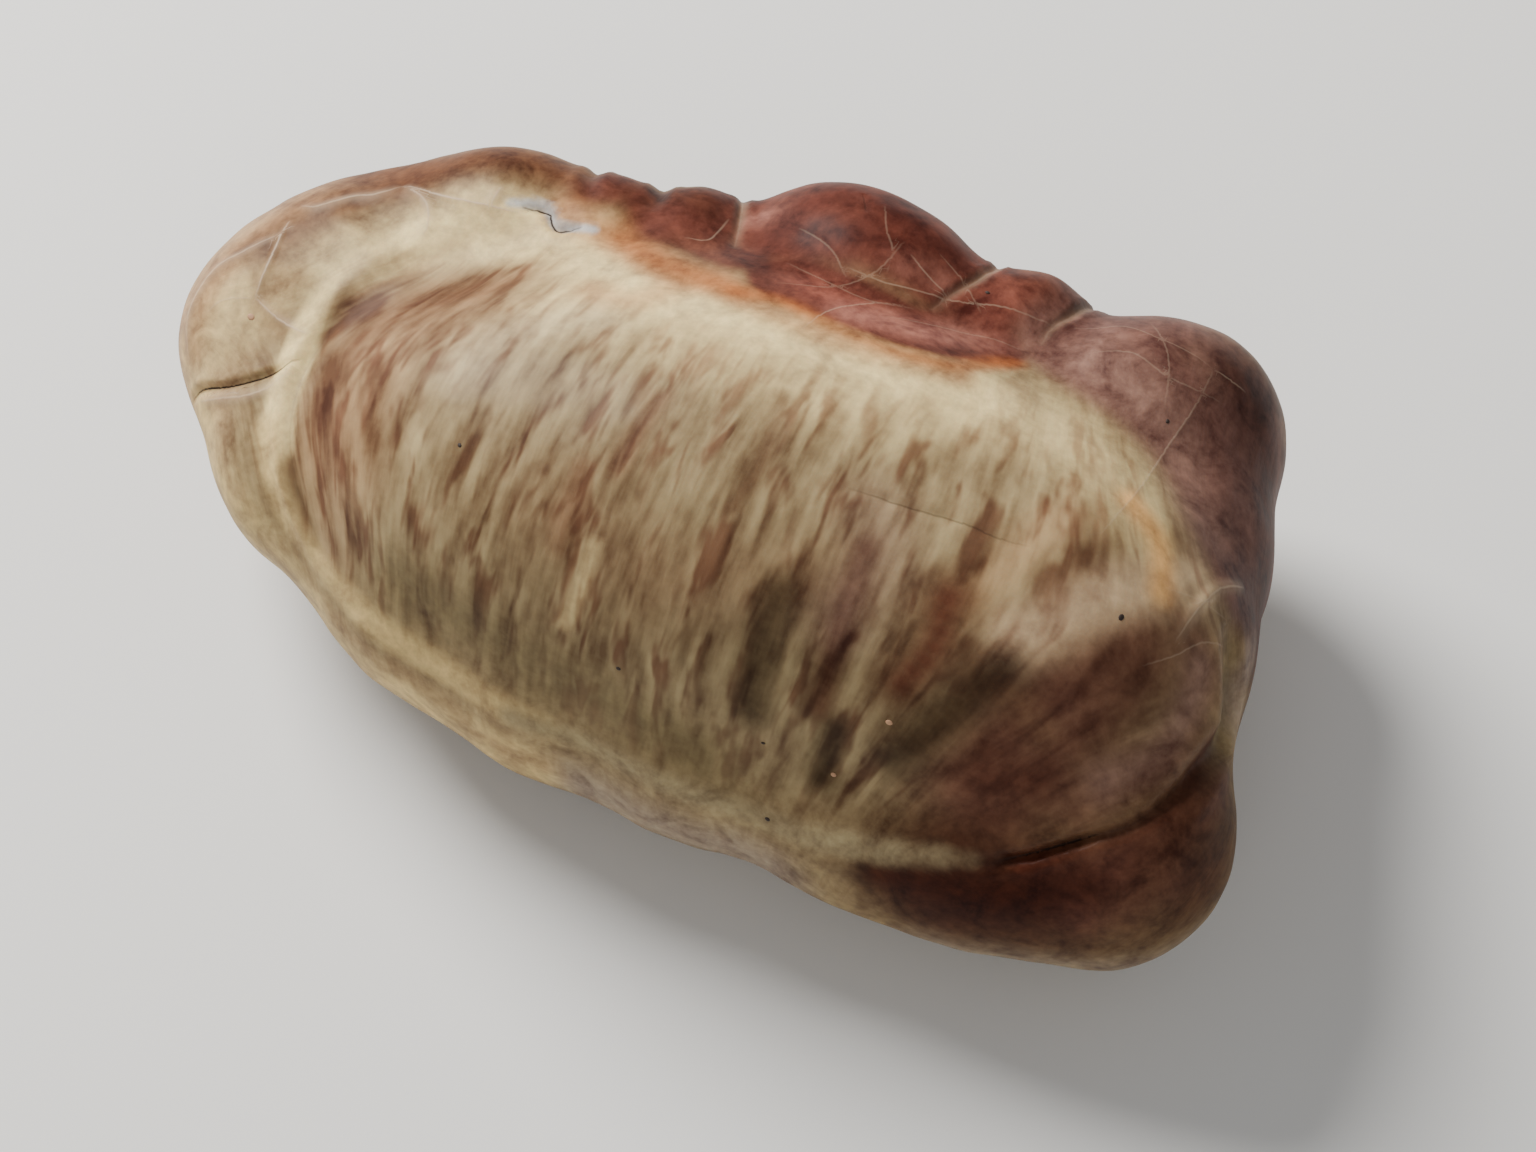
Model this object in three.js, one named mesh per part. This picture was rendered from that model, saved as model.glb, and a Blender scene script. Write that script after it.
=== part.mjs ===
// Blood sausage in a natural casing: one stuffed caecum lying on its back, with a chain of sacs
// (haustra) wrapped round a large central belly. Units are millimetres, +Z is up, +X runs along the
// sausage towards its blunt end, and the origin is under the middle of it, on the surface it lies on.
import * as THREE from "three";

const { clamp, degToRad } = THREE.MathUtils;

// Driving dimensions.
const CELL = 4.4; // grid the casing is sampled on, about the length of a triangle's side
const GRID_FROM = [-122, -74, -8];
const GRID_TO = [122, 74, 96];
const SETTLING_ROUNDS = 20;
const LAST_ROUNDS = 6; // rounds that only press the vertices on to the surface
const REST_SOFTNESS = 7; // how roundly the underside turns into the flat patch it lies on
const CASING_COLOUR = 0xa58d72;

// Every lobe is an ellipsoid: centre, half sizes, turn about Z in degrees, and the width over which
// the casing bridges the crease between it and what it joins.
const lobe = (at, half, turn, bridge) => ({
  at: new THREE.Vector3(...at),
  half: new THREE.Vector3(...half),
  cos: Math.cos(degToRad(turn)),
  sin: Math.sin(degToRad(turn)),
  bridge,
});

const belly = [
  lobe([11, -14.5, 44], [88, 42, 42], 6, 10),
  lobe([64, -13.5, 43], [35, 37, 37], 0, 14),
  lobe([15, 8.5, 46], [78, 32, 29], -2, 14),
];
const backSacs = [
  lobe([-81.5, 10, 38.5], [23, 20.5, 22], 45, 12),
  lobe([-60, 26, 43], [21, 18, 23], 20, 12),
  lobe([-40.5, 28.5, 44], [11, 16, 22], 10, 8),
  lobe([-25.5, 33, 44], [12.5, 17, 22], 0, 8),
  lobe([8.5, 40, 46], [29, 21, 25], -15, 8),
  lobe([36, 42.5, 42], [13, 18, 24], -25, 8),
  lobe([63, 34.5, 38], [25, 31, 32], -40, 8),
];
const endSacs = [
  lobe([-93, -6, 36], [18, 21, 21], 0, 14),
  lobe([-75.5, -26, 33], [24, 18, 21], -45, 10),
  lobe([-69, -1, 43], [16, 14, 17], 45, 14),
  lobe([77, 19, 38], [19.5, 20, 26], -10, 8),
  lobe([82, -3, 30], [14.5, 15, 21], 0, 8),
  lobe([86, -32.5, 31], [25, 24, 29], 0, 8),
];
const frontSacs = [
  lobe([-48, -42.5, 29], [24, 14, 20], -30, 8),
  lobe([-18, -50, 28], [20, 12, 19], -15, 8),
  lobe([16, -50, 28], [22, 13, 19], 0, 8),
  lobe([48, -48.5, 28], [22, 14, 20], 2, 8),
  lobe([68, -43.5, 29], [22, 18, 22], 2, 8),
];
const underside = [lobe([6, -4.5, 17], [92, 52, 33], 2, 14)];

// Distance to an ellipsoid, close to exact near its surface.
function distanceToLobe(point, { at, half, cos, sin }) {
  const dx = point.x - at.x;
  const dy = point.y - at.y;
  const x = (dx * cos + dy * sin) / half.x;
  const y = (dy * cos - dx * sin) / half.y;
  const z = (point.z - at.z) / half.z;
  const scaled = Math.hypot(x, y, z);
  const slope = Math.hypot(x / half.x, y / half.y, z / half.z);
  return slope > 0 ? (scaled * (scaled - 1)) / slope : -Math.min(half.x, half.y, half.z);
}

// The smaller of two distances, rounded over the bridge width.
function join(a, b, bridge) {
  const mix = Math.max(bridge - Math.abs(a - b), 0) / bridge;
  return Math.min(a, b) - (mix * mix * bridge) / 4;
}

function distanceToSausage(point) {
  let distance = distanceToLobe(point, belly[0]);
  for (const sac of [...belly.slice(1), ...underside, ...endSacs, ...frontSacs, ...backSacs])
    distance = join(distance, distanceToLobe(point, sac), sac.bridge);
  // Its own weight flattens it where it lies.
  return -join(-distance, point.z, REST_SOFTNESS);
}

function slopeAt(point, distance, step = 0.1) {
  const probe = point.clone();
  const slope = new THREE.Vector3();
  for (const axis of ["x", "y", "z"]) {
    probe[axis] = point[axis] + step;
    slope[axis] = (distanceToSausage(probe) - distance) / step;
    probe[axis] = point[axis];
  }
  return slope;
}

// One vertex for every grid cell the casing passes through, and one four-sided face round every
// grid edge that crosses it.
function netOverSausage() {
  const counts = GRID_FROM.map((from, axis) => Math.ceil((GRID_TO[axis] - from) / CELL) + 1);
  const strides = [1, counts[0], counts[0] * counts[1]];
  const distances = new Float64Array(strides[2] * counts[2]);
  const at = (index) =>
    new THREE.Vector3(...strides.map((stride, axis) =>
      GRID_FROM[axis] + CELL * (Math.floor(index / stride) % counts[axis])));
  for (let index = 0; index < distances.length; index++) distances[index] = distanceToSausage(at(index));

  const points = [];
  const pointOfCell = new Map();
  const pointIn = (cell) => {
    if (!pointOfCell.has(cell)) {
      pointOfCell.set(cell, points.length);
      points.push(at(cell).addScalar(CELL / 2));
    }
    return pointOfCell.get(cell);
  };
  const faces = [];
  for (let index = 0; index < distances.length; index++) {
    for (let axis = 0; axis < 3; axis++) {
      const next = index + strides[axis];
      if (next >= distances.length || distances[index] < 0 === distances[next] < 0) continue;
      const [u, v] = [strides[(axis + 1) % 3], strides[(axis + 2) % 3]];
      const face = [index, index - u, index - u - v, index - v].map(pointIn);
      faces.push(distances[index] < 0 ? face : face.reverse());
    }
  }
  return { points, faces };
}

// Draws every vertex to the middle of its neighbours, along the surface, and on to the surface.
function settle({ points, faces }) {
  const neighbours = points.map(() => new Set());
  for (const face of faces)
    face.forEach((corner, i) => {
      neighbours[corner].add(face[(i + 1) % 4]);
      neighbours[corner].add(face[(i + 3) % 4]);
    });
  const middle = new THREE.Vector3();
  for (let round = 0; round < SETTLING_ROUNDS; round++) {
    const before = points.map((point) => point.clone());
    points.forEach((point, i) => {
      middle.set(0, 0, 0);
      for (const neighbour of neighbours[i]) middle.add(before[neighbour]);
      const move = middle.divideScalar(neighbours[i].size).sub(point);
      const distance = distanceToSausage(point);
      const slope = slopeAt(point, distance);
      const steepness = Math.max(slope.length(), 0.3);
      slope.divideScalar(steepness);
      move.addScaledVector(slope, -move.dot(slope));
      move.multiplyScalar(round < SETTLING_ROUNDS - LAST_ROUNDS ? 0.6 : 0);
      point.add(move.addScaledVector(slope, clamp(-distance / steepness, -CELL, CELL)));
    });
  }
}

function casingGeometry() {
  const net = netOverSausage();
  settle(net);
  const { points, faces } = net;
  const corners = faces.flatMap(([a, b, c, d]) => {
    const cutsAC = points[a].distanceTo(points[c]) < points[b].distanceTo(points[d]);
    return cutsAC ? [a, b, c, a, c, d] : [a, b, d, b, c, d];
  });
  const geometry = new THREE.BufferGeometry().setFromPoints(points);
  geometry.setIndex(corners);
  geometry.computeBoundingBox();
  const { min, max } = geometry.boundingBox;
  geometry.translate(-(min.x + max.x) / 2, -(min.y + max.y) / 2, -min.z);
  geometry.computeVertexNormals();
  return geometry;
}

const casing = new THREE.Mesh(
  casingGeometry(),
  new THREE.MeshStandardMaterial({ color: CASING_COLOUR, roughness: 0.45, metalness: 0 }),
);
casing.name = "filled_casing";

const sausage = new THREE.Group();
sausage.add(casing);

export default sausage;
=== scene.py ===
"""Blood sausage in a natural casing, lying on its broad side.

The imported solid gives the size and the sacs. Here a copy of it is made smooth and fine, then gets what
the gut wall shows: seams between the sacs, folds, slits and hair creases, the pale muscle band, and the
dark filling that shows through the wall in streaks. Lengths are in millimetres until the mesh is filled.
"""
import math

import bmesh
import bpy
import numpy as np
from mathutils import Matrix, Vector, noise
from mathutils.bvhtree import BVHTree
from mathutils.kdtree import KDTree


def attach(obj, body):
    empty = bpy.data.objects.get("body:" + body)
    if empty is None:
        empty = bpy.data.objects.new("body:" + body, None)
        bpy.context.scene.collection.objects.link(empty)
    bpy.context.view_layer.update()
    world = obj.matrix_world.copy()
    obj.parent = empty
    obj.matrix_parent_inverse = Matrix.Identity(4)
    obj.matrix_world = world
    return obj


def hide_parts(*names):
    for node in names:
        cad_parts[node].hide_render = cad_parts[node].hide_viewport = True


MM = 0.001

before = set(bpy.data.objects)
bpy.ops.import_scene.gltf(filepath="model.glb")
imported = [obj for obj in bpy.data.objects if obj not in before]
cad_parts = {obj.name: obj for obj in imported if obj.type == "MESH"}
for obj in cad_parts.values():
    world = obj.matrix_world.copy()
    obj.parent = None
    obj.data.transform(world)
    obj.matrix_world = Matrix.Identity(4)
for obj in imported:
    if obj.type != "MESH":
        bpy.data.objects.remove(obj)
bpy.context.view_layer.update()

# ---------------------------------------------------------------- camera and light
AZIMUTH = math.radians(25.5)
ELEVATION = math.radians(60)
LENS = 80  # mm, on a sensor of the width below
SENSOR = 36
DISTANCE = 0.6206
AIM = Vector((0.01316, -0.01354, 0.03555))


def aimed(thing, place, aim):
    """Puts an object at a place, looking at a point."""
    thing.location = place
    thing.rotation_euler = (Vector(aim) - Vector(place)).to_track_quat("-Z", "Y").to_euler()
    bpy.context.scene.collection.objects.link(thing)
    return thing


def make_camera():
    data = bpy.data.cameras.new("camera")
    data.lens = LENS
    data.sensor_width = SENSOR
    data.clip_start = 0.05
    level = math.cos(ELEVATION)
    towards = Vector((math.sin(AZIMUTH) * level, -math.cos(AZIMUTH) * level, math.sin(ELEVATION)))
    camera = aimed(bpy.data.objects.new("camera", data), AIM + towards * DISTANCE, AIM)
    bpy.context.scene.camera = camera


def make_light(name, place, size, watts, colour):
    data = bpy.data.lights.new(name, "AREA")
    data.shape = "DISK"
    data.size = size
    data.energy = watts
    data.color = colour
    aimed(bpy.data.objects.new(name, data), place, (0, 0, 0.04))


# ---------------------------------------------------------------- nodes
def linear(hex_colour):
    """An sRGB hex colour as linear red, green, blue and alpha."""
    parts = [int(hex_colour[i:i + 2], 16) / 255 for i in (1, 3, 5)]
    return tuple(c / 12.92 if c <= 0.04045 else ((c + 0.055) / 1.055) ** 2.4 for c in parts) + (1.0,)


def add(tree, kind, inputs=None, **settings):
    """Adds a node. An input is a value, or another node, or a node and the name of its output."""
    node = tree.nodes.new("ShaderNode" + kind)
    for name, value in settings.items():
        setattr(node, name, value)
    for name, value in (inputs or {}).items():
        socket = node.inputs[name]
        if isinstance(value, bpy.types.Node):
            value = next(output for output in value.outputs if output.enabled)
        elif isinstance(value, tuple) and isinstance(value[0], bpy.types.Node):
            value = value[0].outputs[value[1]]
        if isinstance(value, bpy.types.NodeSocket):
            tree.links.new(value, socket)
        else:
            socket.default_value = value
    return node


def new_material(name):
    material = bpy.data.materials.new(name)
    material.use_nodes = True
    material.node_tree.nodes.clear()
    return material, material.node_tree


# ---------------------------------------------------------------- shape of the wall
def smoothstep(low, high, value):
    part = np.clip((value - low) / (high - low), 0, 1)
    return part * part * (3 - 2 * part)


def copy_of_solid(node):
    """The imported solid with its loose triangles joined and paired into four-sided faces."""
    mesh = node.data.copy()
    work = bmesh.new()
    work.from_mesh(mesh)
    bmesh.ops.remove_doubles(work, verts=work.verts, dist=0.01 * MM)
    bmesh.ops.join_triangles(work, faces=work.faces, angle_face_threshold=math.radians(50),
                             angle_shape_threshold=math.radians(60))
    work.to_mesh(mesh)
    work.free()
    mesh.materials.clear()
    return mesh


def subdivided(mesh, levels):
    """Applies a smooth subdivision and returns the new mesh."""
    holder = bpy.data.objects.new("holder", mesh)
    bpy.context.scene.collection.objects.link(holder)
    smooth = holder.modifiers.new("smooth", "SUBSURF")
    smooth.levels = smooth.render_levels = levels
    bpy.context.view_layer.update()
    finished = bpy.data.meshes.new_from_object(holder.evaluated_get(bpy.context.evaluated_depsgraph_get()))
    bpy.data.objects.remove(holder)
    return finished


def positions(mesh):
    """Where the vertices are, in mm."""
    flat = np.empty(len(mesh.vertices) * 3)
    mesh.vertices.foreach_get("co", flat)
    return flat.reshape(-1, 3) / MM


def normals(mesh):
    flat = np.empty(len(mesh.vertices) * 3)
    mesh.vertices.foreach_get("normal", flat)
    return flat.reshape(-1, 3)


def set_positions(mesh, points):
    mesh.vertices.foreach_set("co", (points * MM).ravel())
    mesh.update()


def curve_through(points, spacing=0.4):
    """Even samples of a smooth curve through the points."""
    p = np.array(points, float)
    p = np.vstack([2 * p[0] - p[1], p, 2 * p[-1] - p[-2]])
    samples = []
    for a, b, c, d in zip(p[:-3], p[1:-2], p[2:-1], p[3:]):
        steps = max(2, int(np.linalg.norm(c - b) / spacing))
        t = np.linspace(0, 1, steps, endpoint=False)[:, None]
        samples.append(0.5 * (2 * b + (c - a) * t + (2 * a - 5 * b + 4 * c - d) * t ** 2
                              + (3 * b - a - 3 * c + d) * t ** 3))
    return np.vstack(samples + [p[-2:-1]])


class Line:
    """A crease, seam or fold: a curve that lies on the wall."""

    def __init__(self, wall, points, fade=0.25):
        self.samples = np.array([wall.find_nearest(Vector(s) * MM)[0] for s in curve_through(points)]) / MM
        self.along = np.linspace(0, 1, len(self.samples))
        self.heading = np.gradient(self.samples, axis=0)
        self.fade = fade
        self.tree = KDTree(len(self.samples))
        for index, sample in enumerate(self.samples):
            self.tree.insert(sample, index)
        self.tree.balance()

    def near(self, points, reach, outward=None):
        """Which points are within reach of the curve, how far away, and how strong it is there.
        Given the wall's normals, the distance is below zero on the curve's right."""
        low, high = self.samples.min(0) - reach, self.samples.max(0) + reach
        chosen = np.where(((points > low) & (points < high)).all(1))[0]
        found = [self.tree.find(points[index]) for index in chosen]
        distance = np.array([f[2] for f in found])
        place = self.along[[f[1] for f in found]] if found else np.array([])
        strength = np.clip(np.minimum(place, 1 - place) / max(self.fade, 1e-3), 0, 1) ** 0.6
        keep = distance < reach
        if outward is not None and found:
            nearest = [f[1] for f in found]
            across = np.cross(self.heading[nearest], points[chosen] - self.samples[nearest])
            distance = np.where((across * outward[chosen]).sum(1) < 0, -distance, distance)
        return chosen[keep], distance[keep], strength[keep]


# Kind of line. Width and height in mm shape the wall (height below zero is a groove); pale tints it that
# widely, and the dark tint is painted shade in the groove, as wide. Thread is how pale, or below zero how
# dark, the fine line along its middle is; a dark thread is a painted shadow in the crevice.
CREASE = dict(width=0.7, height=0.3, pale=0.3, painted_shade=0.0, thread=0.6)
HAIR = dict(width=0.6, height=0.08, pale=0.0, painted_shade=0.0, thread=0.22)
FAINT_HAIR = dict(width=0.6, height=0.04, pale=0.0, painted_shade=0.0, thread=0.13)
WRINKLE = dict(width=0.8, height=-0.25, pale=0.0, painted_shade=0.0, thread=-0.35)
FOLD = dict(width=1.1, height=0.6, pale=0.42, painted_shade=0.0, thread=0.4)
SEAM = dict(width=0.9, height=-0.7, pale=0.28, painted_shade=0.0, thread=0.12)
SLIT = dict(width=0.8, height=-0.9, pale=0.0, painted_shade=0.15, thread=-1.0)
GROOVE = dict(width=1.5, height=-0.9, pale=0.0, painted_shade=0.25, thread=-0.12)
BROW = dict(width=1.2, height=-1.2, pale=0.0, painted_shade=0.2, thread=-0.1)
DENT = dict(width=2.6, height=-1.8, pale=0.0, painted_shade=0.4, thread=0.0)
CREST = dict(width=2.6, height=0.9, pale=0.0, painted_shade=0.0, thread=0.0)
BAND = dict(width=5.0, height=0.6, pale=0.0, painted_shade=0.0, thread=0.0)
FINE = 1.0  # mm, the width below which a line needs a finer mesh
REFINED = 1.7  # mm each side of a fine line where the mesh is made finer
THREAD_REACH = 1.5  # mm each side of a line within which its thread may show
FAR = 9.0  # stands for a place with no line near it

# A groove pushes up a lip on each side, as the gut bunches there.
LIP_AWAY = 1.9  # from the groove's middle, in its widths
LIP_WIDTH = 0.6
LIP_HEIGHT = 0.25  # of the groove's depth

# The filling's soft lumps under the gut: height and size in mm, and seed.
LUMPS = [(0.5, 22, 1), (0.22, 7, 2)]
RESTING = (0.5, 6)  # mm above the table between which the relief fades in, so the underside stays flat

LINES = [
    # left end: one deep slit with a raised lip, and creases that meet at a knot
    (SLIT, [(-98, -26, 38), (-96, -27, 44), (-90, -27, 49), (-86, -26, 53), (-81, -23, 55), (-77, -20, 56)]),
    (FOLD, [(-97, -29, 42), (-86, -29, 51), (-81, -27, 54), (-77, -23, 56)]),
    (CREASE, [(-92, -12, 57), (-93, -3, 60), (-94, 5, 60)]),
    (CREASE, [(-92, -12, 57), (-85, -14, 56), (-78, -15, 56)]),
    (HAIR, [(-92, -12, 57), (-98, -14, 55), (-100, -16, 52)]),
    (FOLD, [(-101, -23, 45), (-104, -16, 49), (-103, -8, 54), (-99, -4, 57), (-93, 2, 60)]),
    # top left: a drawn-up crease with tucks across it, ending in an open fold
    (FOLD, [(-94, 9, 59), (-90, 9, 61), (-85, 13, 60), (-81, 15, 60), (-77, 19, 60)]),
    (CREASE, [(-77, 19, 60), (-71, 19, 62), (-65, 19, 64), (-57, 20, 65), (-53, 21, 65)]),
    (FOLD, [(-77, 19, 60), (-71, 17, 62), (-68, 13, 61), (-68, 10, 60)]),
    (FOLD, [(-59, 24, 66), (-59, 20, 65)]),
    (SLIT, [(-54, 22, 65), (-49, 23, 65), (-47, 21, 65), (-45, 20, 66), (-41, 22, 67)]),
    # muscle band round the left end and the front of the belly, which rises steeply inside it
    (CREST, [(-66, 11, 62), (-73, 1, 61), (-77, -8, 59), (-79, -18, 57), (-78, -26, 56), (-74, -35, 54),
             (-69, -42, 50), (-62, -49, 44), (-54, -53, 43)]),
    (GROOVE, [(-74, -10, 60), (-75, -14, 59), (-76, -22, 57), (-74, -31, 56), (-70, -38, 53),
              (-65, -44, 49), (-58, -49, 45)]),
    (BAND, [(-61, -50, 43), (-41, -57, 41), (-28, -59, 41), (-11, -61, 40), (4, -61, 40), (20, -61, 39),
            (35, -60, 38), (52, -60, 41), (66, -57, 45)]),
    # the belly's edge over the last sac, at the lower right
    (SLIT, [(76, -54, 48), (81, -51, 50), (86, -48, 53), (91, -45, 56)]),
    (BROW, [(72, -56, 47), (80, -52, 50), (87, -47, 54), (94, -42, 56), (99, -33, 56), (101, -24, 54)]),
    (DENT, [(97, -38, 56), (100, -29, 55), (102, -17, 51), (101, -12, 53), (98, -7, 59), (95, -2, 63)]),
    # right: straight creases over the big sac
    (FOLD, [(95, 8, 59), (92, 2, 66), (90, -6, 70), (89, -14, 71)]),
    (FAINT_HAIR, [(95, -2, 63), (90, -4, 69), (84, -7, 74)]),
    (HAIR, [(96, -6, 61), (93, -10, 67), (90, -16, 70), (85, -21, 71)]),
    (HAIR, [(74, 43, 66), (73, 28, 66), (73, 11, 74), (71, -6, 80)]),
    (FAINT_HAIR, [(74, 43, 66), (63, 44, 68), (55, 45, 65), (47, 42, 63)]),
    (HAIR, [(74, 43, 66), (81, 44, 62)]),
    # seams between the sacs
    (SEAM, [(26, 54, 26), (28, 54, 44), (29, 51, 59), (29, 49, 62), (28, 43, 65), (26, 38, 67),
            (24, 31, 69)]),
    (SEAM, [(46, 54, 30), (47, 53, 46), (47, 52, 57), (47, 51, 59), (46, 46, 62), (44, 40, 63),
            (44, 35, 64)]),
    (SEAM, [(-19, 48, 28), (-21, 48, 44), (-21, 47, 55), (-20, 45, 58), (-17, 38, 63), (-14, 29, 67)]),
    (GROOVE, [(-34, 42, 44), (-34, 40, 56), (-33, 36, 64), (-32, 31, 66)]),
    (GROOVE, [(-48, 38, 40), (-47, 37, 54), (-45, 32, 65), (-43, 28, 66)]),
    # web of creases over the red sacs
    (HAIR, [(7, 32, 70), (15, 32, 70), (24, 35, 68), (34, 39, 66), (44, 41, 63)]),
    (HAIR, [(8, 11, 80), (10, 19, 76), (15, 26, 72), (20, 29, 70)]),
    (FAINT_HAIR, [(14, 34, 70), (13, 39, 71), (10, 43, 71), (7, 49, 69)]),
    (HAIR, [(16, 40, 70), (20, 38, 69), (26, 36, 67)]),
    (WRINKLE, [(2, 50, 67), (5, 45, 70)]),
    (FAINT_HAIR, [(-4, 30, 72), (4, 28, 73), (14, 27, 73), (22, 30, 71)]),
    (FAINT_HAIR, [(-6, 38, 69), (2, 35, 71), (8, 30, 72)]),
    (FAINT_HAIR, [(-2, 22, 74), (6, 26, 73), (12, 33, 71), (14, 42, 70)]),
    (FAINT_HAIR, [(18, 24, 75), (26, 28, 71), (35, 32, 67), (42, 33, 66)]),
    (FAINT_HAIR, [(20, 44, 68), (26, 41, 66), (32, 36, 66)]),
    (FAINT_HAIR, [(60, 48, 64), (66, 40, 68), (70, 30, 70)]),
    (FAINT_HAIR, [(52, 36, 69), (60, 38, 69), (68, 36, 69), (78, 38, 64)]),
    (HAIR, [(-23, 27, 68), (-19, 29, 67), (-19, 37, 63)]),
    # a shallow crease across the belly
    (WRINKLE, [(30, -18, 85), (36, -17, 84), (43, -16, 83), (50, -15, 83), (57, -15, 83), (62, -14, 83)]),
]


def refine_near(mesh, lines, reach):
    """Halves the edges close to the fine lines, so that the mesh can follow them."""
    points = positions(mesh)
    close = np.zeros(len(points), bool)
    for line in lines:
        close[line.near(points, reach)[0]] = True
    work = bmesh.new()
    work.from_mesh(mesh)
    edges = [edge for edge in work.edges if close[edge.verts[0].index] and close[edge.verts[1].index]]
    bmesh.ops.subdivide_edges(work, edges=edges, cuts=1, use_grid_fill=True)
    bmesh.ops.triangulate(work, faces=[face for face in work.faces if len(face.verts) > 4])
    work.to_mesh(mesh)
    work.free()


def lumps(points, size, seed):
    """Smooth noise of about one unit each way, with bumps of the given size in mm."""
    shift = Vector((seed, 2.3 * seed, 0.7))
    return np.array([noise.noise(Vector(p) / size + shift) for p in points])


# ---------------------------------------------------------------- what shows through the wall
# The wall's fibres run round the belly and lean in at its ends.
ROLL_Y = -14.5  # the belly's long axis
ROLL_Z = 44
ROLL_RADIUS = 42
STRAIGHT_AT = -8  # mm along the fibres, where they run straight across the belly
LEAN_LENGTH = 50  # mm from there to where they lean fully
MOST_LEAN = 1.5
LEAN = 0.5  # how much the fibres draw together at HALF_LENGTH from the middle
HALF_LENGTH = 80
SPREAD = 60  # beyond this far from the middle the streaks stop getting finer


def fibre_place(points):
    """Across and along the fibres, in mm."""
    along = ROLL_RADIUS * np.arctan2(points[:, 1] - ROLL_Y, points[:, 2] - ROLL_Z)
    lean = np.clip((along - STRAIGHT_AT) / LEAN_LENGTH, -MOST_LEAN, MOST_LEAN)
    across = points[:, 0] * (1 + LEAN * (points[:, 0] / HALF_LENGTH) ** 2 * lean ** 2)
    return SPREAD * np.arcsinh(across / SPREAD), along


# Colours of the wall over its filling, as they look in even light.
CREAM = "#dcc792"
IVORY = "#c8ba98"
STRAW = "#c4ad7a"
KHAKI = "#96896a"
GREIGE = "#96897a"
OLIVE = "#907e5c"
MOSS = "#706242"
SAND = "#c8ae8c"
ROSE = "#a4876a"
TAN = "#94704e"
UMBER = "#7a5840"
HIDE = "#5e3a26"
HONEY = "#dca866"
AMBER = "#9e5c30"
BRICK = "#8c5246"
OXBLOOD = "#5e3229"
WINE = "#4c2019"
LIVER = "#52261a"
PLUM = "#6a4a43"
RUSSET = "#74483c"
BARK = "#421b10"
SOOT = "#2c1604"
COAL = "#381002"
MAUVE = "#86685e"
BLUSH = "#a87468"
PEARL = "#98897f"
FROST = "#a9adb2"

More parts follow.
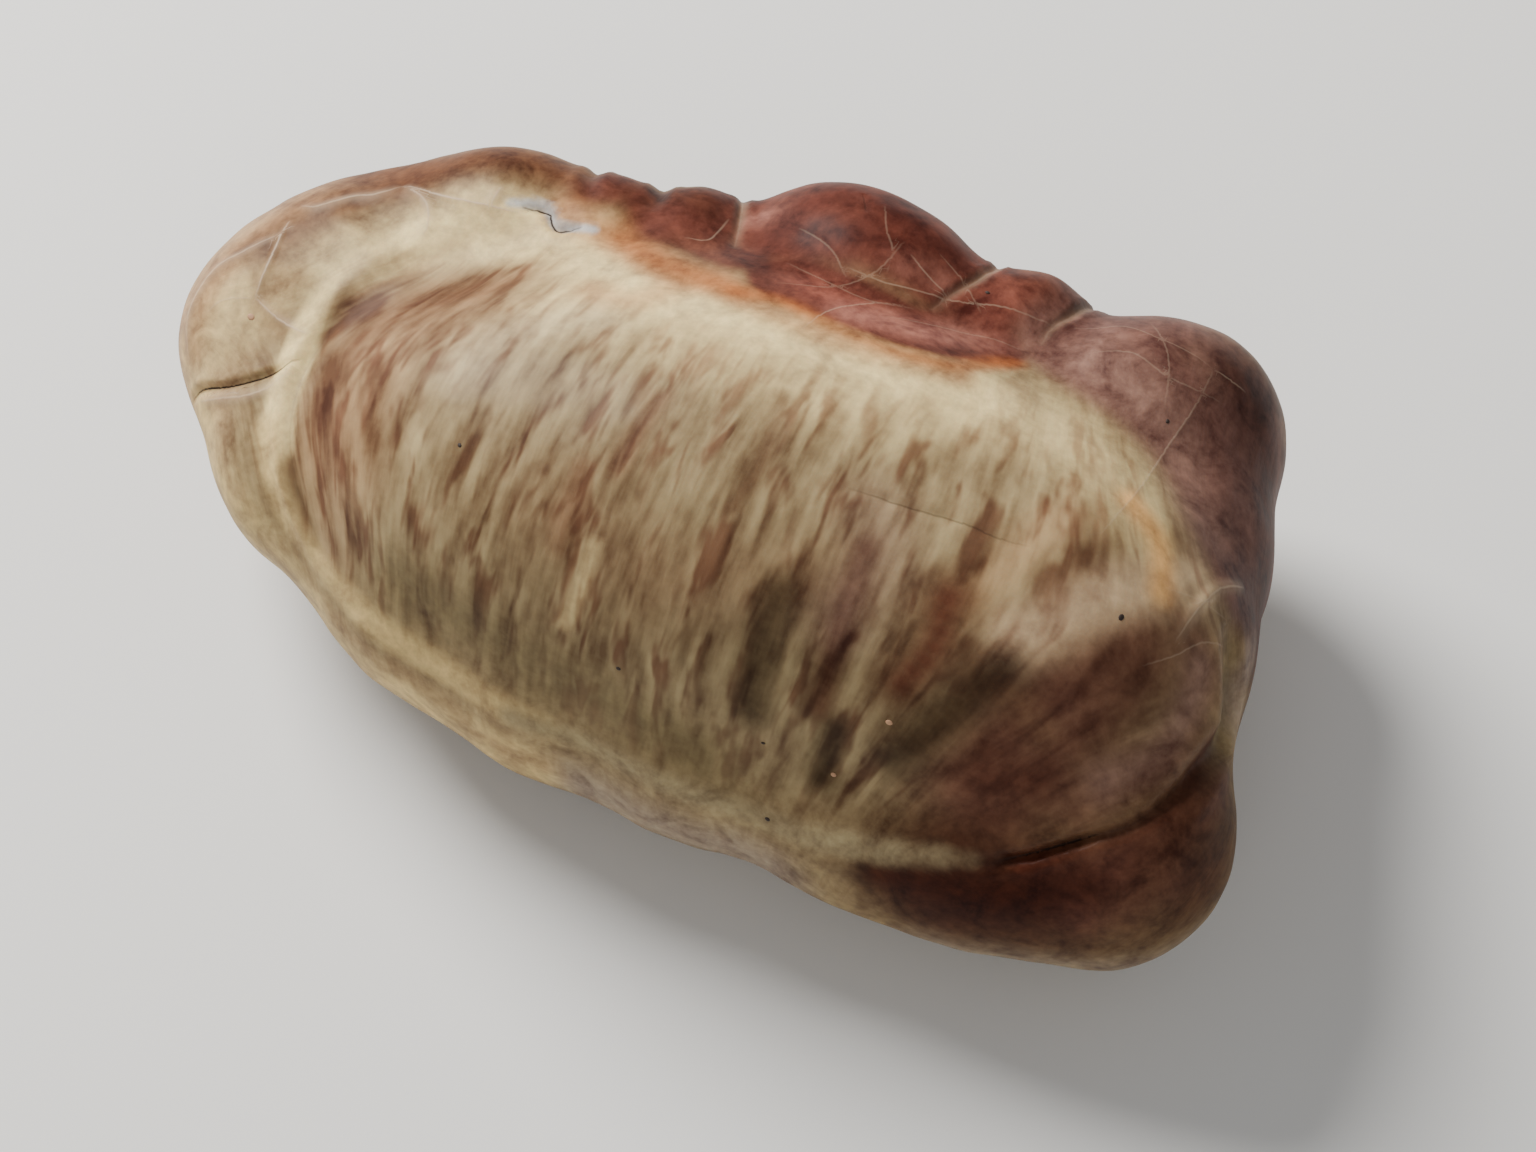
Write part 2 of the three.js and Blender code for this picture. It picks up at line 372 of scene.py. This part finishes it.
# Brush strokes, laid in this order: colour, half width in mm, how much of the width is soft edge, how
# strong, how streaky (0 mottled, 1 streaked), and the points they pass through.
STROKES = [
    # the belly, streaked all over
    (OLIVE, 44, 0.3, 1.0, 1.0, [(-46, -18, 60), (10, -22, 62), (60, -20, 60)]),
    (TAN, 24, 0.9, 0.65, 0.95, [(-60, -34, 58), (-60, -12, 66), (-46, 0, 70)]),
    (UMBER, 10, 0.9, 0.55, 0.9, [(-64, -36, 60), (-68, -24, 61), (-68, -13, 61), (-61, -5, 64),
                                 (-52, 0, 69)]),
    (HIDE, 8, 1.0, 0.6, 0.8, [(-64, -12, 62), (-58, -4, 65), (-51, 1, 69), (-42, 3, 73)]),
    (UMBER, 12, 1.0, 0.35, 0.9, [(-57, -47, 49), (-56, -41, 61), (-57, -29, 69), (-56, -13, 70)]),
    (UMBER, 16, 1.0, 0.4, 1.0, [(-14, -40, 76), (12, -42, 76), (30, -34, 80)]),
    (MOSS, 13, 1.0, 0.8, 0.7, [(-40, -52, 54), (-22, -55, 54), (0, -57, 52), (20, -57, 48)]),
    # the thick pale wall along the belly's upper side
    (CREAM, 17, 0.9, 0.65, 0.5, [(-34, 2, 76), (-16, 3, 81), (2, 1, 84), (23, 1, 84), (39, 8, 80),
                                (56, 12, 76), (73, 5, 77)]),
    (CREAM, 12, 0.8, 0.95, 0.1, [(-70, 12, 60), (-67, 16, 62), (-55, 17, 64), (-43, 19, 66), (-22, 10, 77),
                                 (-6, 8, 80), (20, 9, 81), (40, 12, 78)]),
    (IVORY, 11, 1.0, 0.4, 0.6, [(-41, -16, 77), (-35, -9, 78), (-26, -3, 80)]),
    # the lower right of the belly, where the wall is thin
    (RUSSET, 20, 0.8, 0.85, 0.4, [(80, -20, 70), (76, -36, 68), (70, -46, 58)]),
    (BARK, 12, 1.0, 0.3, 0.3, [(86, -22, 71), (84, -34, 65), (74, -46, 58)]),
    (LIVER, 8, 1.0, 0.35, 0.5, [(74, -32, 74), (69, -42, 68), (66, -48, 60)]),
    (RUSSET, 10, 1.0, 0.6, 0.2, [(92, -10, 68), (97, -17, 61), (96, -29, 60), (86, -43, 58)]),
    (MAUVE, 7, 1.0, 0.75, 0.2, [(94, -14, 65), (95, -28, 61), (88, -38, 61)]),
    (LIVER, 7, 1.0, 0.6, 0.4, [(70, -46, 61), (78, -43, 62)]),
    (UMBER, 6, 1.0, 0.7, 0.6, [(68, -36, 74), (75, -38, 69)]),
    (SAND, 9, 1.0, 0.85, 0.6, [(88, 0, 70), (78, -14, 79), (66, -29, 78)]),
    (TAN, 8, 1.0, 0.6, 1.0, [(64, -7, 82), (60, -18, 82), (56, -26, 80)]),
    # dark streaks where blood or a lump lies against the wall
    (LIVER, 9, 1.0, 0.95, 0.6, [(53, -28, 80), (54, -35, 76), (51, -41, 71)]),
    (LIVER, 5, 1.0, 0.85, 0.8, [(37, -26, 81), (38, -38, 75), (39, -48, 63)]),
    (MAUVE, 12, 1.0, 0.45, 0.9, [(36, -20, 84), (40, -27, 81), (38, -36, 77)]),
    (LIVER, 3, 1.0, 0.65, 0.8, [(13, -7, 85), (15, -20, 85), (14, -29, 83)]),
    (UMBER, 4, 1.0, 0.8, 0.9, [(-6, -16, 85), (-7, -30, 83)]),
    (CREAM, 2.4, 1.0, 0.6, 0.2, [(-6, -42, 76), (-6, -48, 70), (-7, -52, 64)]),
    (UMBER, 4, 1.0, 0.8, 0.9, [(-13, -32, 82), (-12, -44, 75)]),
    (SOOT, 7.5, 1.0, 0.75, 0.7, [(27, -38, 77), (27, -45, 70), (28, -52, 60)]),
    (SOOT, 8, 1.0, 0.85, 0.7, [(66, -34, 75), (60, -42, 69), (54, -50, 59)]),
    (SOOT, 5.5, 1.0, 0.85, 0.7, [(42, -48, 60), (42, -53, 50)]),
    # the back's flank, where the sacs' colours fade out towards the table
    (HIDE, 30, 1.0, 0.6, 0.1, [(-92, 10, 30), (-66, 32, 30), (-44, 38, 30)]),
    (OXBLOOD, 32, 1.0, 0.9, 0.0, [(-24, 46, 36), (8, 52, 36), (38, 52, 36)]),
    (PLUM, 32, 1.0, 0.9, 0.0, [(62, 46, 34), (84, 30, 32), (98, 8, 32)]),
    # back sacs, from the rounded end to the blunt end
    (ROSE, 22, 0.6, 0.9, 0.1, [(-98, -28, 36), (-96, -6, 44), (-86, 14, 46), (-66, 30, 48), (-48, 36, 48)]),
    (UMBER, 18, 1.0, 0.7, 0.0, [(-92, 14, 48), (-80, 26, 50), (-66, 33, 52), (-50, 38, 52)]),
    (CREAM, 12, 0.8, 0.6, 0.0, [(-98, -22, 46), (-93, -12, 56), (-86, -1, 60), (-74, 6, 60)]),
    (TAN, 7, 1.0, 0.6, 0.0, [(-101, -22, 47), (-102, -10, 54), (-98, 1, 57), (-90, 14, 58)]),
    (HIDE, 11, 1.0, 0.85, 0.0, [(-93, -2, 58), (-88, 7, 61), (-82, 14, 61), (-76, 20, 61)]),
    (UMBER, 5, 1.0, 0.45, 0.0, [(-84, -15, 55), (-90, -12, 57), (-86, -6, 58)]),
    (OLIVE, 6, 1.0, 0.4, 0.0, [(-78, 11, 61), (-73, 15, 61), (-66, 18, 64)]),
    (HIDE, 14, 0.9, 0.95, 0.0, [(-84, 22, 54), (-72, 27, 62), (-62, 33, 64), (-52, 34, 63), (-45, 33, 64)]),
    (CREAM, 4, 1.0, 0.5, 0.0, [(-66, 19, 64), (-57, 23, 66)]),
    (HIDE, 15, 1.0, 0.9, 0.0, [(-48, 38, 46), (-30, 44, 44)]),
    (OXBLOOD, 8, 0.7, 0.9, 0.0, [(-42, 32, 64), (-39, 38, 56), (-37, 42, 42)]),
    (AMBER, 7, 1.0, 0.6, 0.0, [(-46, 24, 66), (-31, 20, 69), (-19, 15, 75), (-6, 15, 77)]),
    (WINE, 12, 0.5, 0.95, 0.0, [(-30, 34, 65), (-22, 38, 63), (-20, 46, 44)]),
    (AMBER, 8, 1.0, 0.7, 0.0, [(-33, 23, 67), (-24, 18, 71), (-12, 16, 75)]),
    (OXBLOOD, 9, 0.6, 0.95, 0.0, [(-27, 29, 67), (-20, 28, 68), (-12, 26, 70)]),
    (OXBLOOD, 24, 0.4, 1.0, 0.0, [(-4, 42, 58), (10, 44, 58), (20, 42, 56)]),
    (OXBLOOD, 10, 0.3, 1.0, 0.0, [(0, 24, 73), (12, 23, 74), (25, 24, 74), (35, 29, 68)]),
    (BRICK, 8, 1.0, 0.8, 0.0, [(4, 24, 73), (16, 22, 75), (26, 24, 73)]),
    (BLUSH, 8, 1.0, 0.6, 0.0, [(14, 20, 75), (26, 25, 73), (36, 32, 66)]),
    (BLUSH, 5, 1.0, 0.5, 0.0, [(-14, 40, 63), (-10, 41, 65)]),
    (BLUSH, 6, 1.0, 0.4, 0.0, [(17, 38, 70), (23, 39, 68)]),
    (WINE, 8, 1.0, 0.5, 0.0, [(2, 38, 72), (12, 41, 70), (20, 39, 69)]),
    (WINE, 8, 1.0, 0.8, 0.0, [(-9, 28, 70), (-8, 40, 66), (2, 50, 67), (15, 48, 68), (26, 46, 63)]),
    (OXBLOOD, 13, 0.6, 0.95, 0.0, [(34, 42, 64), (40, 47, 62), (40, 54, 36)]),
    (BRICK, 9, 1.0, 0.5, 0.0, [(34, 38, 66), (42, 44, 63)]),
    (PLUM, 26, 0.45, 1.0, 0.1, [(60, 42, 54), (74, 38, 50), (80, 28, 46), (86, 14, 50)]),
    (PLUM, 13, 0.5, 0.95, 0.0, [(48, 38, 65), (56, 35, 68), (66, 32, 69), (77, 28, 66), (87, 19, 62),
                                (93, 9, 60)]),
    (BARK, 11, 1.0, 0.85, 0.0, [(78, 46, 60), (88, 38, 54), (94, 28, 50), (98, 14, 50), (100, 2, 50)]),
    (MAUVE, 12, 1.0, 0.7, 0.0, [(54, 34, 69), (66, 29, 70), (76, 22, 68), (84, 12, 68)]),
    # amber stain where the wall thins at the edge of a red sac
    (AMBER, 4, 1.0, 0.75, 0.0, [(-7, 15, 76), (3, 16, 77), (13, 14, 78), (25, 14, 78), (35, 18, 76),
                                (42, 28, 69)]),
    (AMBER, 6, 1.0, 0.5, 0.0, [(-6, 13, 77), (8, 11, 79), (22, 11, 79), (36, 15, 77)]),
    (AMBER, 7, 1.0, 0.4, 0.2, [(-30, 5, 75), (-23, 4, 78), (-18, 9, 77)]),
    (HONEY, 5, 1.0, 0.8, 0.1, [(73, 5, 77), (80, 0, 75), (84, -8, 75)]),
    # blunt end and the front
    (PEARL, 6, 1.0, 0.6, 0.0, [(99, 0, 52), (101, -8, 53), (103, -12, 44)]),
    (BARK, 26, 0.7, 0.95, 0.1, [(98, -36, 40), (86, -46, 38), (68, -54, 38)]),
    (COAL, 9, 1.0, 0.5, 0.0, [(97, -47, 51), (87, -53, 46), (75, -58, 41)]),
    (LIVER, 5, 1.0, 0.9, 0.0, [(80, -53, 48), (88, -47, 52), (96, -39, 54), (100, -29, 54), (101, -20, 54)]),
    (OXBLOOD, 7, 1.0, 0.7, 0.0, [(88, -52, 46), (95, -44, 52), (101, -34, 51), (104, -24, 48)]),
    (RUSSET, 11, 1.0, 0.65, 0.0, [(90, -51, 44), (98, -42, 46)]),
    (GREIGE, 14, 1.0, 0.6, 0.0, [(108, -40, 20), (92, -58, 20), (70, -60, 18)]),
    (GREIGE, 14, 0.9, 0.9, 0.1, [(0, -62, 24), (20, -62, 24), (36, -62, 24)]),
    (COAL, 8, 1.0, 0.95, 0.0, [(56, -60, 38), (66, -59, 40), (78, -57, 42), (90, -50, 46)]),
    (STRAW, 13, 0.7, 0.9, 0.1, [(-92, -32, 38), (-76, -46, 34), (-56, -56, 28), (-34, -60, 26),
                                (-14, -62, 26)]),
    (UMBER, 5, 1.0, 0.3, 0.2, [(-55, -54, 35), (-32, -60, 34), (-20, -62, 29), (-8, -63, 29)]),
    # the muscle band
    (CREAM, 5, 1.0, 0.9, 0.0, [(-50, 13, 67), (-59, 10, 62), (-67, 3, 60), (-72, -4, 59)]),
    (CREAM, 4.5, 0.5, 0.95, 0.0, [(-66, 13, 62), (-73, 6, 59), (-78, -4, 58), (-79, -14, 57), (-78, -26, 56),
                                  (-74, -36, 53)]),
    (STRAW, 5, 0.8, 0.9, 0.0, [(-77, -34, 53), (-66, -47, 45), (-51, -54, 43), (-28, -59, 41),
                               (-8, -61, 40)]),
    (KHAKI, 4.5, 0.9, 0.9, 0.0, [(-14, -61, 40), (4, -61, 40), (35, -60, 39), (50, -59, 42)]),
    (KHAKI, 4.5, 1.0, 0.85, 0.0, [(50, -59, 42), (58, -58, 44)]),
    (KHAKI, 4, 1.0, 0.6, 0.0, [(56, -58, 43), (66, -56, 46)]),
    (KHAKI, 3, 1.0, 0.4, 0.0, [(64, -57, 46), (71, -55, 47)]),
    # the open fold, bleached at its lips
    (FROST, 1.7, 0.8, 0.85, 0.0, [(-56, 22, 65), (-50, 24, 65), (-46, 21, 66), (-39, 22, 67)]),
]
UNDERSIDE = (OLIVE, 0.3)  # its colour, and how streaky it is


def painted(points):
    """The broad colours, and how streaky each place is."""
    colours = np.tile(np.array(linear(UNDERSIDE[0])[:3]), (len(points), 1))
    streaky = np.full(len(points), UNDERSIDE[1])
    for colour, half_width, soft, strength, streaks, path in STROKES:
        samples = curve_through(path, 0.25 * half_width)
        low, high = samples.min(0) - half_width, samples.max(0) + half_width
        chosen = np.where(((points > low) & (points < high)).all(1))[0]
        distance = np.full(len(chosen), np.inf)
        for sample in samples:
            distance = np.minimum(distance, ((points[chosen] - sample) ** 2).sum(1))
        weight = strength * smoothstep(half_width, half_width * (1 - soft), np.sqrt(distance))
        colours[chosen] += weight[:, None] * (np.array(linear(colour)[:3]) - colours[chosen])
        streaky[chosen] += weight * (streaks - streaky[chosen])
    return colours, streaky


def give_attribute(mesh, name, values):
    kind = "FLOAT" if values.ndim == 1 else "FLOAT_VECTOR"
    attribute = mesh.attributes.new(name, kind, "POINT")
    attribute.data.foreach_set("value" if values.ndim == 1 else "vector", values.astype(np.float32).ravel())


def relief_of(lines, points, outward):
    """How far each point is raised in mm, how pale the lines tint it and how much painted shade darkens their
    grooves,
    and its thread: the distance to the line in mm, how pale the line is, and how dark its painted shadow is."""
    raised = sum(height * lumps(points, size, seed) for height, size, seed in LUMPS)
    pale = np.zeros(len(points))
    painted_shade = np.zeros(len(points))
    thread = np.tile((FAR, 0.0, 0.0), (len(points), 1))
    for kind, line in lines:
        width = kind["width"]
        chosen, distance, strength = line.near(points, max(3 * width, 2 * THREAD_REACH), outward)
        away = np.abs(distance)
        shape = strength * np.exp(-(distance / width) ** 2)
        raised[chosen] += kind["height"] * shape
        if kind["height"] < 0:
            lip = np.exp(-((away / width - LIP_AWAY) / LIP_WIDTH) ** 2)
            raised[chosen] -= LIP_HEIGHT * kind["height"] * strength * lip
        pale[chosen] = np.maximum(pale[chosen], kind["pale"] * shape)
        # painted shade, darkening the groove where shade falls
        painted_shade[chosen] = np.maximum(painted_shade[chosen], kind["painted_shade"] * shape)
        if kind["thread"]:
            nearer = away < np.abs(thread[chosen, 0])
            close = strength * smoothstep(THREAD_REACH, 0.4 * THREAD_REACH, away) * kind["thread"]
            # a dark thread is a painted shadow in the crevice
            found = np.stack([distance, np.maximum(close, 0), np.maximum(-close, 0)], 1)
            thread[chosen[nearer]] = found[nearer]
    return raised, pale, painted_shade, thread


def make_sausage():
    mesh = subdivided(copy_of_solid(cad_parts["filled_casing"]), 2)
    work = bmesh.new()
    work.from_mesh(mesh)
    wall = BVHTree.FromBMesh(work)
    work.free()
    lines = [(kind, Line(wall, points)) for kind, points in LINES]
    refine_near(mesh, [line for kind, line in lines if kind["width"] < FINE], REFINED)

    points = positions(mesh)
    outward = normals(mesh)
    raised, pale, painted_shade, thread = relief_of(lines, points, outward)
    colours, streaky = painted(points)
    across, along = fibre_place(points)
    raised *= smoothstep(*RESTING, points[:, 2])
    set_positions(mesh, points + outward * raised[:, None])

    give_attribute(mesh, "fibre", np.stack([across, points[:, 1], points[:, 2]], 1))
    give_attribute(mesh, "stain", colours)
    give_attribute(mesh, "thread", thread)
    # how streaky, how pale, and the painted shade in the grooves
    give_attribute(mesh, "marks", np.stack([streaky, pale, painted_shade], 1))
    mesh.shade_smooth()
    mesh.name = "sausage"
    sausage = bpy.data.objects.new("sausage", mesh)
    bpy.context.scene.collection.objects.link(sausage)
    return sausage


# Cracked pepper and a crumb or two caught just under the wall: place, and half size in mm.
PEPPER = [((-36, -34, 76), 0.35), ((71, 28, 68), 0.35), ((31, 41, 66), 0.35), ((80, -17, 77), 0.5),
          ((35, -59, 39), 0.4), ((4, -54, 60), 0.35), ((31, -53, 53), 0.3)]
FAT = [((-91, -15, 55), 0.6), ((51, -46, 65), 0.5), ((44, -52, 51), 0.4)]


def make_specks(name, sausage, specks):
    """Flat grains that stand a hair proud of the wall."""
    wall = BVHTree.FromObject(sausage, bpy.context.evaluated_depsgraph_get())
    work = bmesh.new()
    for place, half in specks:
        at, outward = wall.find_nearest(Vector(place) * MM)[:2]
        lie = Matrix.Translation(at) @ outward.to_track_quat("Z", "Y").to_matrix().to_4x4()
        size = Matrix.Diagonal((half * 1.3 * MM, half * MM, 0.15 * MM, 1))
        bmesh.ops.create_icosphere(work, subdivisions=2, radius=1, matrix=lie @ size)
    mesh = bpy.data.meshes.new(name)
    work.to_mesh(mesh)
    work.free()
    mesh.shade_smooth()
    grains = bpy.data.objects.new(name, mesh)
    bpy.context.scene.collection.objects.link(grains)
    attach(grains, "root")
    return grains


# ---------------------------------------------------------------- finishes
def gut_casing():
    """Natural gut over cooked blood and meat: a thin moist membrane, cloudy where it is thick and clear
    where it is thin, so the filling shows through in soft streaks. Satin, with a faint wet sheen."""
    material, tree = new_material("natural gut casing over blood filling")
    fibre = (add(tree, "Attribute", attribute_name="fibre"), "Vector")
    stain = (add(tree, "Attribute", attribute_name="stain"), "Vector")
    marks = add(tree, "SeparateXYZ", {"Vector": (add(tree, "Attribute", attribute_name="marks"), "Vector")})
    thread = add(tree, "SeparateXYZ", {"Vector": (add(tree, "Attribute", attribute_name="thread"), "Vector")})
    place = (add(tree, "TexCoord"), "Object")

    def noise_at(vector, size, detail, roughness=0.55, distortion=0.0):
        """Noise from -0.5 to 0.5, whose bumps have the given size in x, y and z of the vector."""
        scaled = add(tree, "VectorMath", {0: vector, 1: [1 / s for s in size]}, operation="MULTIPLY")
        value = add(tree, "TexNoise", {"Vector": scaled, "Scale": 1.0, "Detail": detail,
                                       "Roughness": roughness, "Distortion": distortion})
        return add(tree, "Math", {0: (value, "Fac"), 1: 0.5}, operation="SUBTRACT")

    def weighted(*terms):
        """The sum of each value times its weight."""
        total = 0.0
        for value, weight in terms:
            total = add(tree, "Math", {0: value, 1: weight, 2: total}, operation="MULTIPLY_ADD")
        return total

    def mixed(factor, a, b, **settings):
        inputs = {"Factor": factor, "A": a, "B": b}
        return add(tree, "Mix", inputs, data_type="RGBA", clamp_factor=True, **settings)

    # Sizes on the fibres are in mm, across them and then along them. Object places are in metres.
    blotch = [9 * MM] * 3
    broad = noise_at(fibre, (9, 26, 26), 3)
    streaks = noise_at(fibre, (3.3, 14, 14), 1, 0.45, 0.2)
    clots = noise_at(fibre, (3.6, 14, 14), 2, 0.6, 0.3)
    fine = noise_at(fibre, (1.5, 9, 9), 2, 0.6)
    mottle = noise_at(place, blotch, 5, 0.62, 0.6)
    speckle = noise_at(place, [size / 4 for size in blotch], 3, 0.6)

    streaked = weighted((streaks, 1.6), (broad, 1.1), (fine, 0.7), (speckle, 0.4))
    mottled = weighted((mottle, 2.4), (speckle, 1.1))
    pattern = add(tree, "Mix", {"Factor": (marks, "X"), "A": mottled, "B": streaked}, data_type="FLOAT")
    thickness = weighted((pattern, 1.0), (0.5, 1.0))

    # Where the wall is thin the filling shows, where it is thick it is nearly cream. Pale places vary less.
    filling = mixed(weighted((stain, 1.1)), linear("#a28684"), (1.0, 1.0, 1.0, 1.0))
    thin = mixed(1.0, stain, filling, blend_type="MULTIPLY")
    lit = mixed(1.0, stain, (1.42, 1.38, 1.28, 1.0), blend_type="MULTIPLY")
    clouded = add(tree, "Math", {0: stain, 1: 5.0}, operation="MULTIPLY", use_clamp=True)
    clouded = add(tree, "Math", {0: clouded, 1: (marks, "X")}, operation="MULTIPLY")
    thick = mixed(weighted((clouded, 0.17), (0.01, 1.0)), lit, linear("#d4c6a0"))
    wall = mixed(thickness, thin, thick)

    # Clots that lie against a thin wall show as mauve brown streaks.
    clot = add(tree, "MapRange", {"Value": clots, "From Min": -0.05, "From Max": 0.18, "To Max": 0.85},
               interpolation_type="SMOOTHSTEP")
    clotted = add(tree, "Math", {0: clot, 1: (marks, "X")}, operation="MULTIPLY")
    base = mixed(clotted, wall, linear("#a27c7e"), blend_type="MULTIPLY")
    seamed = mixed((marks, "Y"), base, linear("#b9a083"))
    # Painted shade: grooves, slits and dents are darkened where shade falls in them.
    shaded = mixed((marks, "Z"), seamed, linear("#2e2018"))

    # The fine line along the middle of a crease or slit, which fades out by 0.32 mm from it: pale along
    # creases, and a painted shadow along slits, wrinkles and grooves.
    off_line = add(tree, "Math", {0: (thread, "X")}, operation="ABSOLUTE")
    core = add(tree, "MapRange", {"Value": off_line, "From Min": 0.32, "From Max": 0.05},
               interpolation_type="SMOOTHSTEP")
    ridge = add(tree, "Math", {0: core, 1: (thread, "Y")}, operation="MULTIPLY")
    crevice_and_shadow = add(tree, "Math", {0: core, 1: (thread, "Z")}, operation="MULTIPLY")
    creased = mixed(ridge, shaded, linear("#cbb49a"))
    # the painted shadow line in the crevice
    colour = mixed(crevice_and_shadow, creased, linear("#241812"))

    relief = weighted((fine, 0.6), (speckle, 0.5), (streaks, 0.5), (ridge, 0.5), (crevice_and_shadow, -1.0))
    bump = add(tree, "Bump", {"Height": relief, "Strength": 0.25, "Distance": 0.4 * MM})
    gloss = weighted((mottle, 0.2), (0.52, 1.0))
    shader = add(tree, "BsdfPrincipled", {
        "Base Color": colour, "Roughness": gloss, "IOR": 1.42, "Normal": bump,
        "Subsurface Weight": 0.12, "Subsurface Radius": (2.4, 1.0, 0.5), "Subsurface Scale": 1.0 * MM,
        "Specular IOR Level": 0.08, "Coat Weight": 0.04, "Coat Roughness": 0.22, "Coat IOR": 1.4})
    add(tree, "OutputMaterial", {"Surface": (shader, "BSDF")})
    return material


def grain(name, colour):
    """A dull crumb seen through a film of moist gut."""
    material, tree = new_material(name)
    shader = add(tree, "BsdfPrincipled", {"Base Color": linear(colour), "Roughness": 0.7})
    add(tree, "OutputMaterial", {"Surface": (shader, "BSDF")})
    return material


def pale_floor():
    """Matt studio paper, a little warm."""
    material, tree = new_material("matt studio paper")
    shader = add(tree, "BsdfPrincipled", {"Base Color": linear("#f2f1ee"), "Roughness": 0.9})
    add(tree, "OutputMaterial", {"Surface": (shader, "BSDF")})
    return material


def make_floor():
    mesh = bpy.data.meshes.new("floor")
    half = 3.0
    corners = [(-half, -half, 0), (half, -half, 0), (half, half, 0), (-half, half, 0)]
    mesh.from_pydata(corners, [], [(0, 1, 2, 3)])
    mesh.materials.append(pale_floor())
    floor = bpy.data.objects.new("floor", mesh)
    bpy.context.scene.collection.objects.link(floor)


make_camera()
make_floor()
make_light("key", (-1.0, 0.45, 0.95), 0.8, 42, (1.0, 0.98, 0.95))
make_light("fill", (0.6, -1.1, 0.9), 1.4, 5, (0.97, 0.98, 1.0))
world = bpy.data.worlds.new("studio")
world.use_nodes = True
world.node_tree.nodes["Background"].inputs["Color"].default_value = (1, 1, 1, 1)
world.node_tree.nodes["Background"].inputs["Strength"].default_value = 0.25
bpy.context.scene.world = world

sausage = make_sausage()
sausage.data.materials.append(gut_casing())
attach(sausage, "root")
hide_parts("filled_casing")
make_specks("pepper", sausage, PEPPER).data.materials.append(grain("cracked black pepper", "#2a1a10"))
make_specks("fat", sausage, FAT).data.materials.append(grain("crumb of fat", "#b58a68"))
